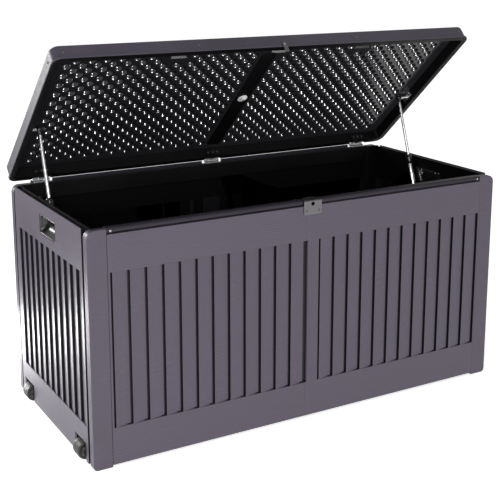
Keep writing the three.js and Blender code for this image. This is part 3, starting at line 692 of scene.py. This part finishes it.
def screw_set(name, body, places, radius, look, at=None):
    """Pan-head screws, and their cross recesses as a piece of their own: black blocks in the heads,
    painted shade.
    places holds the foot of each head and the direction that it faces."""
    height = radius * 0.5
    dome = [(radius * math.cos(a), height * (0.35 + 0.65 * math.sin(a))) for a in quarter(6)[:-1]]
    head = Shape().lathe([(radius, -0.4), *dome, (radius * 0.12, height)], (0, 0, 0), sides=28)
    cross = Shape()
    for a, b in ((radius * 0.55, radius * 0.13), (radius * 0.13, radius * 0.55)):
        cross.block((-a, -b, height * 0.4), (a, b, height + 0.08))
    heads, crosses = Shape(), Shape()
    for place, direction in places:
        add_facing(heads, head, place, direction)
        add_facing(crosses, cross, place, direction)
    heads.piece(name, body, STEEL, look, at, angle=50)
    crosses.piece(f"{name}_recess", body, STEEL, housing_look, at, angle=30)


rim_height = 18.0
rim_screws = [((x, LID_FRONT - 0.1, rim_height), (0, -1, 0))
              for x in (-573.0, -232.0, 229.0, 573.0)]
rim_screws += [((side * (LID_HALF + 0.1), y, rim_height), (side, 0, 0))
               for side in (-1, 1) for y in (-500.0, -60.0)]
rim_screws += [((x, LID_BACK + 0.1, rim_height), (0, 1, 0))
               for x in (-400.0, -110.0, 110.0, 400.0)]
screw_set("lid_rim_screws", "lid", rim_screws, 3.6, dark_steel_look, LID)


# ---- Lid's centre bar and its screw
bar_half = 22.0
bar_under = LID_CEILING - 2.8
bar = Shape()
bar.prism(rounded(LID_SEAM - bar_half, LID_SEAM + bar_half, -478.0, -48.5, 8), "z",
          bar_under, LID_CEILING - 0.3)
bar.piece("lid_centre_bar_moulding", "lid", MOULDED, lining_look, LID, bevel=1.2,
          segments=3, replaces=["lid_centre_bar"])
washer = Shape()
foot = bar_under - 0.1
washer.lathe([(0.5, foot), (13.4, foot), (13.8, foot - 0.5), (13.8, foot - 1.2), (13.0, foot - 1.8),
              (8.5, foot - 2.0), (7.8, foot - 2.3), (7.6, foot - 4.2), (6.4, foot - 5.3),
              (3.0, foot - 6.0), (0.3, foot - 6.1)], (LID_SEAM, -280.0, 0), sides=44)
UNDERSIDES.append(washer.piece("lid_centre_screw_head", "lid", STEEL, washer_look, LID,
                               replaces=["lid_centre_screw"]))
# The centre screw's cross recess is a black block of painted shade.
cross = Shape()
for a, b in ((4.2, 0.9), (0.9, 4.2)):
    cross.block((LID_SEAM - a, -280 - b, foot - 6.25), (LID_SEAM + a, -280 + b, foot - 4.5))
cross.piece("lid_centre_screw_recess", "lid", STEEL, housing_look, LID)


# ---- Hinges
KNUCKLE = HINGE_LEAF / 3
LEAF = 1.8  # thickness of a leaf
leaf_low = -HINGE.z + WALL_TOP + 1.3  # height of the box leaves below the hinge axis


def barrel(shape, x0, x1, radius=4.5, bore=2.25):
    shape.lathe([(bore, x0), (radius - 0.5, x0), (radius, x0 + 0.5), (radius, x1 - 0.5),
                 (radius - 0.5, x1), (bore, x1), (bore, x0)], (0, 0, 0), "x", 32)


AXIS = Matrix.Translation(Vector((0, HINGE.y, HINGE.z)) * MM)
for i, x in enumerate(HINGE_PLACES, 1):
    half = HINGE_LEAF / 2
    box_leaf = Shape()
    box_leaf.prism(rounded(x - half, x + half, -19.0, -5.0, 2.5), "z", leaf_low, leaf_low + LEAF)
    for x0, x1 in ((x - half, x - half + KNUCKLE - 0.3), (x + half - KNUCKLE, x + half - 0.3)):
        barrel(box_leaf, x0, x1)
        box_leaf.prism([(-7, leaf_low), (-0.5, -4.4), (-0.5, -2.9), (-7, leaf_low + LEAF)],
                       "x", x0, x1)
    box_leaf.piece(f"hinge_leaf_on_box_{i}", "box", STEEL, zinc_look, AXIS,
                   bevel=0.3, replaces=[f"hinge_box_leaf_{i}"])
    lid_leaf = Shape()
    inner = LID_BACK - RIM - 0.3
    lid_leaf.prism(rounded(x - half, x + half, -1.0, 20.0, 2.5), "y", inner - LEAF, inner)
    lid_leaf.block((x - half, inner - LEAF, -1.0), (x + half, LID_BACK - 1, 1.2))
    knuckle = Shape()
    span = (x - KNUCKLE / 2 + 0.3, x + KNUCKLE / 2 - 0.3)
    knuckle.prism([(LID_BACK - 2, -1.0), (-1.5, -1.0), (0, 3.0), (-2.6, 3.4), (-4.5, 1.2),
                   (LID_BACK - 2, 1.2)], "x", *span)
    barrel(knuckle, *span)
    lid_leaf.piece(f"hinge_leaf_on_lid_{i}", "lid", STEEL, leaf_look, LID,
                   bevel=0.3, replaces=[f"hinge_lid_leaf_{i}"])
    knuckle.piece(f"hinge_knuckle_on_lid_{i}", "lid", STEEL, zinc_look, LID, bevel=0.3)
    pin = Shape()
    pin.lathe([(0.4, x - half - 2.2), (1.8, x - half - 2.0), (3.2, x - half - 1.2),
               (3.2, x - half - 0.2), (2.2, x - half), (2.2, x + half), (3.2, x + half - 0.1),
               (3.2, x + half + 1.0), (1.8, x + half + 1.8), (0.4, x + half + 2.0)],
              (0, 0, 0), "x", 24)
    pin.piece(f"hinge_pin_headed_{i}", "box", STEEL, steel_look, AXIS, angle=40,
              replaces=[f"hinge_pin_{i}"])
    screw_set(f"hinge_screws_lid_{i}", "lid",
              [((x + dx, inner - LEAF, 12.0), (0, -1, 0)) for dx in (-15.0, 0.0, 15.0)], 2.8,
              dark_steel_look, LID)


# ---- Gas struts
STRUT_LINE = 558.0  # from the box's middle to the struts
STUD_REACH, STUD_RISE = 219.0, 19.0  # the lid's stud, from the hinge axis
STUD_RADIUS = 4.0
PLATE = 3.0  # thickness of the struts' brackets
BALL = [(7.4, 4.5), (8.4, 1.5), (8.6, 0.0), (8.4, -1.5), (7.2, -4.8), (5.2, -7.0), (2.5, -8.3),
        (0.4, -8.6)]


def bar_profile(low, high):
    """A stud's profile, as (radius, height)."""
    return [(0.3, low), (STUD_RADIUS, low), (STUD_RADIUS, high), (0.3, high)]


for side, name in SIDES:
    foot = joint_mm(f"strut_pivot_{name}")
    stud = LID @ (Vector((side * STRUT_LINE, -STUD_REACH, STUD_RISE)) * MM) / MM
    length = (stud - foot).length
    lean = math.atan2(stud.y - foot.y, stud.z - foot.z)
    at = Matrix.Translation(foot * MM) @ Matrix.Rotation(-lean, 4, "X")
    tube = Shape()
    tube.lathe([(0.5, 9.0), (5.5, 9.0), (7.2, 9.8), (8.0, 11.6), (8.0, 186.5), (7.6, 188.4),
                (7.6, 190.6), (4.4, 190.6), (4.4, 20.0), (0.5, 20.0)], (0, 0, 0), sides=48)
    tube.piece(f"strut_tube_{name}", f"strut_cylinder_{name}", "chromed_steel", chrome_look, at,
               angle=40, replaces=[f"strut_cylinder_{name}"])
    socket = Shape()
    socket.lathe([(0.5, 10.0), (5.2, 10.0), (5.2, 6.5), *BALL], (0, 0, 0), sides=36)
    socket.piece(f"strut_foot_socket_{name}", f"strut_cylinder_{name}", BLACK,
                 black_look, at, angle=50)
    gland = Shape()
    gland.lathe([(4.15, 191.0), (8.1, 190.6), (8.1, 172.0), (8.8, 172.0), (9.2, 172.6),
                 (9.2, 184.0), (10.2, 185.0), (10.2, 190.0), (9.2, 191.0), (9.2, 195.4), (8.6, 196.4),
                 (7.2, 197.2), (6.6, 199.2), (5.6, 200.0), (4.15, 200.0), (4.15, 191.0)],
                (0, 0, 0), sides=40)
    gland.piece(f"strut_gland_ring_{name}", f"strut_cylinder_{name}", BLACK,
                black_look, at, angle=40, replaces=[f"strut_gland_{name}"])
    rod = Shape()
    rod.lathe([(0.5, 178.0), (4.0, 178.4), (4.0, length - 12), (0.5, length - 12)],
              (0, 0, 0), sides=32)
    rod.piece(f"strut_rod_bar_{name}", f"strut_rod_{name}", "chromed_steel", chrome_look, at,
              angle=40, replaces=[f"strut_rod_{name}"])
    head = Shape()
    neck = [(0.5, 14.4), (4.9, 14.4), (5.3, 13.8), (5.3, 7.0)]
    head.lathe([(radius, length - height) for radius, height in neck + BALL], (0, 0, 0), sides=36)
    head.piece(f"strut_head_socket_{name}", f"strut_rod_{name}", BLACK, black_look, at,
               angle=50)
    wall = side * (RIGHT - END_THICK)
    plate = Shape()
    plate.prism(rounded(foot.y - 32, foot.y + 32, foot.z - 16, foot.z + 16, 6), "x",
                *sorted((wall - side * 0.3, wall - side * PLATE)))
    plate.piece(f"strut_wall_plate_{name}", "box", STEEL, zinc_look, bevel=0.5,
                replaces=[f"strut_wall_bracket_{name}"])
    post = Shape()
    reach = sorted((wall - side * 2.5, side * 553.0))
    post.lathe(bar_profile(*reach), (0, foot.y, foot.z), "x", 28)
    post.piece(f"strut_wall_stud_{name}", "box", STEEL, steel_look, angle=40)
    screw_set(f"strut_plate_screws_{name}", "box",
              [((wall - side * PLATE, foot.y + dy, foot.z), (-side, 0, 0)) for dy in (-22, 22)],
              3.6, steel_look)
    rim_wall = side * (LID_HALF - RIM)
    lid_plate = Shape()
    lid_plate.prism(rounded(-STUD_REACH - 26, -STUD_REACH + 14, STUD_RISE - 9, STUD_RISE + 9, 4),
                    "x", *sorted((rim_wall - side * 0.3, rim_wall - side * PLATE)))
    reach = sorted((rim_wall - side * 2.0, side * 564.6))
    lid_plate.lathe(bar_profile(*reach), (0, -STUD_REACH, STUD_RISE), "x", 28)
    lid_plate.piece(f"strut_lid_plate_{name}", "lid", STEEL, zinc_look, LID,
                    bevel=0.4, replaces=[f"strut_lid_bracket_{name}"])
    screw_set(f"strut_lid_screws_{name}", "lid",
              [((rim_wall - side * PLATE, -STUD_REACH + dy, STUD_RISE), (-side, 0, 0))
               for dy in (-20, -11)], 2.6, steel_look, LID)


# ---- Lock plate and tongue
PLATE_HALF = 26.0
HOLE_Z, HOLE_RADIUS = 564.0, 5.0
face = FRONT - 2.3
rail_top = box_mm("lock_plate")[1].z


def ray(outline, angle):
    """Where a ray from the hole's middle meets the outline."""
    ca, sa = math.cos(angle), math.sin(angle)
    reach = []
    for (a0, b0), (a1, b1) in zip(outline, outline[1:] + outline[:1]):
        da, db = a1 - a0, b1 - b0
        det = ca * db - sa * da
        if abs(det) < 1e-9:
            continue
        along = (a0 * db - (b0 - HOLE_Z) * da) / det
        share = (a0 * sa - (b0 - HOLE_Z) * ca) / det
        if along > 0 and -1e-6 <= share <= 1 + 1e-6:
            reach.append(along)
    return min(reach) * ca, HOLE_Z + min(reach) * sa


def plate_with_hole(outline, y0, y1):
    """A flat plate across Y with a round hole in it, bridged between outline and hole."""
    angles = {math.atan2(b - HOLE_Z, a) % (2 * math.pi) for a, b in outline}
    angles = sorted(angles | {2 * math.pi * k / 24 for k in range(24)})
    small = [(HOLE_RADIUS * math.cos(t), HOLE_Z + HOLE_RADIUS * math.sin(t)) for t in angles]
    large = [ray(outline, t) for t in angles]
    loops = [[(a, y, b) for a, b in ring] for ring, y in
             ((small, y0), (large, y0), (large, y1), (small, y1), (small, y0))]
    return Shape().rings(loops, False, False)


outline = [(a, min(b, rail_top - 0.6))
           for a, b in rounded(-PLATE_HALF, PLATE_HALF, 537.0, rail_top + 6, 5)]
plate = plate_with_hole(outline, face, FRONT - 0.3)
plate.block((-PLATE_HALF, face, rail_top - 2), (PLATE_HALF, FRONT + 15, rail_top))
plate.piece("lock_plate_pressed", "box", STEEL, lock_look, bevel=0.6,
            segments=3, angle=40, replaces=["lock_plate"])
screw_set("lock_plate_rivets", "box", [((dx, face, 546.0), (0, -1, 0)) for dx in (-18, 18)], 3.0,
          lock_look)
catch = Shape()
catch.prism(rounded(-17, 17, 561.5, rail_top + 3.5, 3), "y", FRONT + 15.4, FRONT + 20.5)
for dx in (-11.0, 11.0):
    catch.prism(rounded(dx - 4.5, dx + 4.5, rail_top - 1, rail_top + 3.4, 2), "y", FRONT + 12.5,
                FRONT + 16.5)
catch.piece("lock_catch_moulding", "box", BLACK, black_look, bevel=0.6, segments=3)
tongue = Shape()
tongue_y = LID_FRONT - 3.3
low = HOLE_Z - 5.5 - HINGE.z
tongue.prism(rounded(-6, 6, low, LID_FOOT + 12, 4.5), "y", tongue_y - 2, tongue_y)
tongue.piece("lock_tongue_pressed", "lid", STEEL, lock_look, LID, bevel=0.5,
             segments=3, replaces=["lock_tongue"])
screw_set("lock_tongue_rivet", "lid", [((0, tongue_y - 2, LID_FOOT + 6.5), (0, -1, 0))], 2.6,
          steel_look, LID)


# ---- Handle cups
# Rows of a cup's skin as (depth, inset): first the recess, from its lip in, then the back.
CUP_RECESS = [(1.4, 0.0), (0.5, 0.5), (0.1, 1.3), (0.3, 2.2), (1.2, 2.9), (5.0, 3.4), (10.0, 4.2),
              (13.5, 5.4), (15.8, 7.4), (17.2, 10.2), (17.8, 14.0)]
CUP_BACK = [(20.2, 14.0), (20.2, 5.0), (19.4, 2.2), (17.0, 0.6), (14.0, 0.0), (1.4, 0.0)]
CUP_LEAN = 0.7  # how fast the recess's foot rises inwards


def cup_loop(low, high, side, deep, inset, lean):
    """One row of a handle cup's skin, its lower half raised by lean."""
    outline = rounded(low.y + inset, high.y - inset, low.z + inset, high.z - inset, 6.5)
    middle = (low.z + high.z) / 2
    return [(side * (RIGHT - deep), y, z + (lean if z < middle else 0)) for y, z in outline]


for side, name in SIDES:
    low, high = box_mm(f"handle_cup_{name}")
    cup = Shape()
    cup.rings([cup_loop(low, high, side, deep, inset, CUP_LEAN * max(0.0, deep - 3.0))
               for deep, inset in CUP_RECESS], False, True)
    cup.rings([cup_loop(low, high, side, deep, inset, 0.0) for deep, inset in CUP_BACK], True, False)
    cup.piece(f"handle_cup_moulding_{name}", "box", BLACK, cup_look, angle=60,
              replaces=[f"handle_cup_{name}"])


# ---- Wheels
for name in ("front", "back"):
    body = f"wheel_{name}"
    hub = joint_mm(f"wheel_turn_{name}")
    radius, half = 22.5, 18.0
    tyre = Shape()
    profile = [(4.12, -half), (15.2, -half), (15.6, -half + 1.6), (18.0, -half + 1.6),
               (18.4, -half), (19.6, -half)]
    profile += [(radius - 3 + 3 * math.sin(a), -half + 3 - 3 * math.cos(a)) for a in quarter(4)]
    for groove in (-8.0, 0.0, 8.0):
        profile += [(radius, groove - 1.4), (radius - 0.9, groove - 0.9), (radius - 0.9, groove + 0.9),
                    (radius, groove + 1.4)]
    profile += [(radius - 3 + 3 * math.cos(a), half - 3 + 3 * math.sin(a)) for a in quarter(4)]
    profile += [(18.4, half), (18.0, half - 1.6), (15.6, half - 1.6), (15.2, half), (4.12, half),
                (4.12, -half)]
    tyre.lathe(profile, hub, "y", 56)
    tyre.piece(f"wheel_tyre_{name}", body, "wheel_plastic", tread_look, angle=30,
               replaces=[f"wheel_{name}"])
    for out, where in ((-1, "front_side"), (1, "back_side")):
        cap = Shape()
        face_y = hub.y + out * (half + 0.3)
        rows = [(4.12, 0), (14.9, 0), (15.0, 2.6), (14.2, 3.6), (12.6, 4.2), (11.8, 6.2), (11.0, 7.0),
                (6.4, 7.0), (5.8, 6.0), (4.12, 6.0), (4.12, 0)]
        cap.lathe([(r, out * h) for r, h in rows], (hub.x, face_y, hub.z), "y", 40)
        for k in range(6):
            angle = math.pi * k / 3
            c, s = math.cos(angle), math.sin(angle)
            across = [(11.2, -1.3), (15.0, -1.3), (15.0, 1.3), (11.2, 1.3)]
            rib = [(hub.x + a * c - b * s, hub.z + a * s + b * c) for a, b in across]
            cap.prism(rib, "y", *sorted((face_y + out * 2.0, face_y + out * 5.6)))
        toward = "outer" if (out < 0) == (name == "front") else "inner"
        cap.piece(f"wheel_hub_cap_{name}_{where}", body, BLACK, hub_look, bevel=0.35,
                  angle=40, replaces=[f"wheel_hub_{toward}_{name}"])
    axle_low, axle_high = box_mm(f"wheel_axle_{name}")
    axle = Shape()
    axle.lathe([(0.4, axle_low.y - 0.2), (3.2, axle_low.y - 0.2), (4.0, axle_low.y + 0.8),
                (4.0, axle_high.y - 0.8), (3.2, axle_high.y + 0.2), (0.4, axle_high.y + 0.2)],
               (hub.x, 0, hub.z), "y", 28)
    axle.piece(f"wheel_axle_bar_{name}", "box", STEEL, steel_look, angle=40,
               replaces=[f"wheel_axle_{name}"])


# ---- Buffers, rail ends and inside screws
for name in ("left", "right"):
    low, high = box_mm(f"lid_buffer_{name}")
    centre = (low + high) / 2
    rise = [(4.5 * math.cos(a), 1.6 + 1.8 * math.sin(a)) for a in quarter(5)[:-1]]
    dome = Shape()
    dome.lathe([(0.4, 0.0), (4.5, 0.0), *rise, (0.4, 3.4)], (centre.x, centre.y, low.z), "z", 28)
    dome.piece(f"lid_buffer_dome_{name}", "box", "rubber", rubber_look, angle=50,
               replaces=[f"lid_buffer_{name}"])

BOSS_IN, BOSS_DROP = 9.0, 6.2  # a rail's end boss, from the rail's end and its top
BOSS = [(0.4, -4.0), (5.6, -4.0), (5.6, 0.3), (5.0, 1.0), (3.6, 1.2), (0.4, 1.2)]
for place, out in (("front", -1), ("back", 1)):
    low, high = box_mm(f"{place}_rail")
    nose = low.y if out < 0 else high.y
    ends = Shape()
    screws = []
    for side in (-1, 1):
        x, z = side * (high.x - BOSS_IN), high.z - BOSS_DROP
        ends.lathe([(radius, out * height) for radius, height in BOSS], (x, nose, z), "y", 28)
        screws.append(((x, nose + out * 1.2, z), (0, out, 0)))
    ends.piece(f"rail_end_bosses_{place}", "box", BLACK, housing_look, angle=40)
    screw_set(f"rail_end_screws_{place}", "box", screws, 2.4, steel_look)

INNER_WALL = RIGHT - END_THICK - 6.4
WASHER = [(4.2, 0), (7.6, 0), (7.6, 1.0), (7.0, 1.4), (4.8, 1.4), (4.2, 1.0), (4.2, 0)]
WASHER_PLACE, BARE_PLACE = (13.0, 528.0), (-50.0, 537.0)
for side, name in SIDES:
    ring = Shape()
    ring.lathe([(radius, -side * height) for radius, height in WASHER],
               (side * INNER_WALL, *WASHER_PLACE), "x", 32)
    ring.piece(f"end_wall_washer_{name}", "box", STEEL, steel_look, angle=40)
    screw_set(f"end_wall_screws_{name}", "box",
              [((side * INNER_WALL, *place), (-side, 0, 0)) for place in (WASHER_PLACE, BARE_PLACE)],
              3.4, steel_look)


# ---- Camera, lights and floor, placed in metres
def add_camera():
    """The photograph's view, as worked out from the box's straight edges."""
    data = bpy.data.cameras.new("camera")
    data.lens = 75.02
    data.sensor_width = 36
    data.shift_y = -0.15
    data.clip_end = 50
    camera = bpy.data.objects.new("camera", data)
    camera.location = (-1.3725, -2.351, 1.1766)
    yaw, pitch = math.radians(29.867), math.radians(12.267)
    camera.rotation_euler = (math.radians(90) - pitch, 0, -yaw)
    link(camera)
    bpy.context.scene.camera = camera


def add_softbox(name, place, target, size, power):
    """A rectangular light at a place, facing a target. Sizes are in metres."""
    data = bpy.data.lights.new(name, "AREA")
    data.shape = "RECTANGLE"
    data.size, data.size_y = size
    data.energy = power
    light = bpy.data.objects.new(name, data)
    light.location = place
    light.rotation_euler = (Vector(target) - Vector(place)).to_track_quat("-Z", "Y").to_euler()
    light.visible_camera = False
    link(light)
    return light


def add_sheet(name, low, high, height, look):
    """A flat rectangle of the studio, which isn't part of the box."""
    (x0, y0), (x1, y1) = low, high
    mesh = bpy.data.meshes.new(name)
    mesh.from_pydata([(x0, y0, height), (x1, y0, height), (x1, y1, height), (x0, y1, height)],
                     [], [(0, 1, 2, 3)])
    mesh.materials.append(look.material)
    sheet = bpy.data.objects.new(name, mesh)
    link(sheet)
    return sheet


def add_floor():
    """A pale floor that gives off a little light, so that it fades into the background."""
    look = Look("floor_paint", (0.9, 0.9, 0.9), 0.6, specular=0.2)
    look.shader.inputs["Emission Color"].default_value = (1, 1, 1, 1)
    look.shader.inputs["Emission Strength"].default_value = 0.62
    look.wire(Base_Color=look.tint(look.noise(look.place, 3.0), (0.91, 0.91, 0.91), (0.93, 0.93, 0.93)))
    add_sheet("floor", (-8.0, -8.0), (8.0, 8.0), 0, look)


def add_flag():
    """A black card above the floor that only reflections see, for the left end's top."""
    cloth = Look("flag_cloth", (0.01, 0.01, 0.01), 0.9, specular=0.1)
    flag = add_sheet("flag", (-1.9, 1.15), (-0.7, 2.9), 0.01, cloth)
    for ray_kind in ("camera", "diffuse", "shadow", "transmission"):
        setattr(flag, f"visible_{ray_kind}", False)


def add_world():
    """White to the camera, and a dimmer studio to everything else."""
    world = bpy.data.worlds.new("studio")
    world.use_nodes = True
    tree = world.node_tree
    seen = tree.nodes["Background"]
    room = tree.nodes.new("ShaderNodeBackground")
    for background, strength in ((seen, 1.02), (room, 0.5)):
        background.inputs["Color"].default_value = (1, 1, 1, 1)
        background.inputs["Strength"].default_value = strength
    path = tree.nodes.new("ShaderNodeLightPath")
    mix = tree.nodes.new("ShaderNodeMixShader")
    tree.links.new(path.outputs["Is Camera Ray"], mix.inputs[0])
    tree.links.new(room.outputs[0], mix.inputs[1])
    tree.links.new(seen.outputs[0], mix.inputs[2])
    tree.links.new(mix.outputs[0], tree.nodes["World Output"].inputs["Surface"])
    bpy.context.scene.world = world
    bpy.context.scene.view_settings.view_transform = "Standard"


add_camera()
add_world()
add_floor()
add_softbox("key", (-1.8, -2.5, 1.35), (-0.3, 0, 0.35), (1.1, 0.9), 44)
add_softbox("left_low", (-0.71, 0.52, 0.06), (-0.59, -0.1, 0.16), (0.22, 0.1), 1.5)
add_softbox("left_sheen", (-1.9, 2.2, 1.0), (-0.6, 0, 0.75), (0.8, 0.5), 30)
add_flag()
glints = add_softbox("glints", (0.8, -2.0, 0.05), (0.0, 0, 0.75), (0.8, 0.2), 190)
only = bpy.data.collections.new("lit_by_glints")
for piece in UNDERSIDES:
    only.objects.link(piece)
glints.light_linking.receiver_collection = only
glints.light_linking.blocker_collection = only
